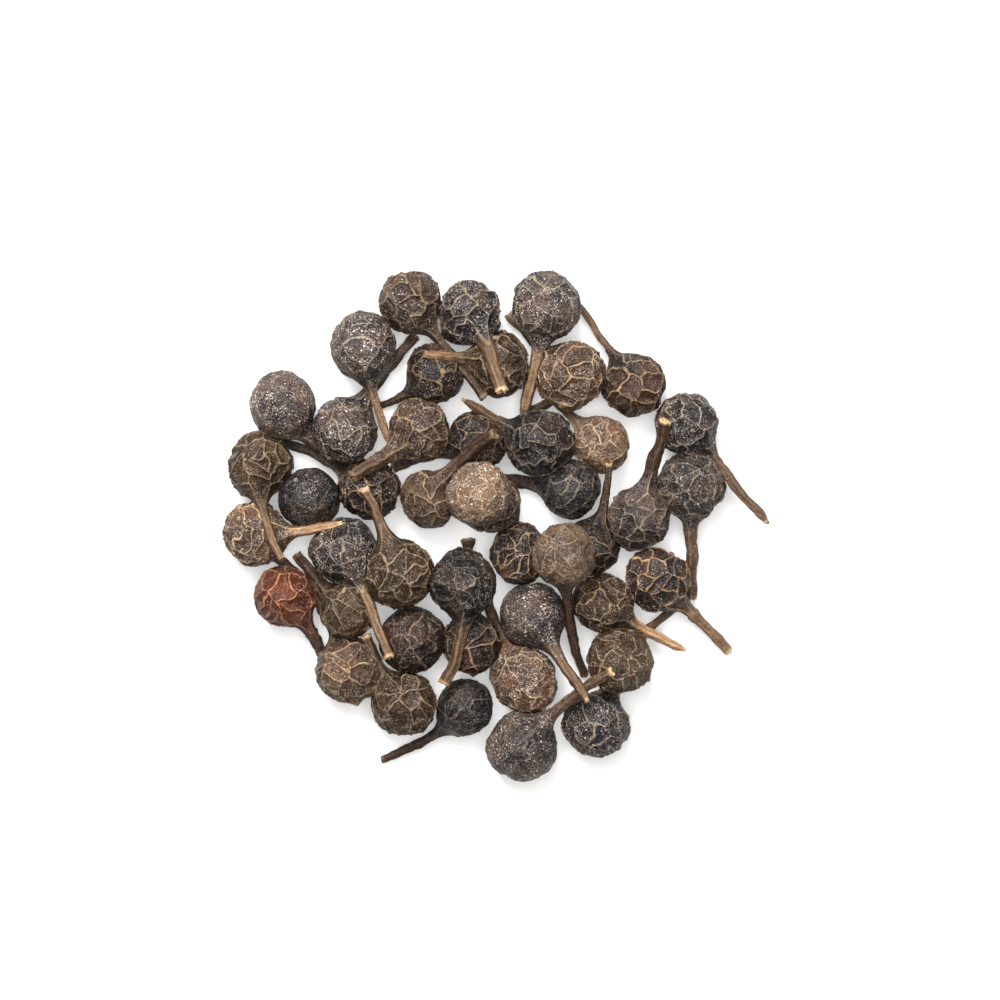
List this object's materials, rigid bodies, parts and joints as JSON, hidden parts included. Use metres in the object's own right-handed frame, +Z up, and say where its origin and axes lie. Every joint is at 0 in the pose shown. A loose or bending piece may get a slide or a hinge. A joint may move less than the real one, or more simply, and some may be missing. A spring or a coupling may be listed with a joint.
{
  "type": "heap of cubeb berries",
  "caption": "Small loose heap of dried cubeb berries with their stalks on, spread thinly on a flat surface, with no dish.",
  "frame": {"origin": "bottom centre of the heap, at the surface that it lies on", "axes": "+Z up, away from the surface; +X along the heap's longest side; +Y across it"},
  "size_m": [0.0438, 0.0406, 0.0088],
  "materials": {
    "dried_berry": "dry matt wrinkled berry skin, grey-brown to blue-black, with raised tan veins and tan stalks"
  },
  "bodies": {
    "root": {"cubeb_heap": "dried_berry"}
  },
  "joints": []
}
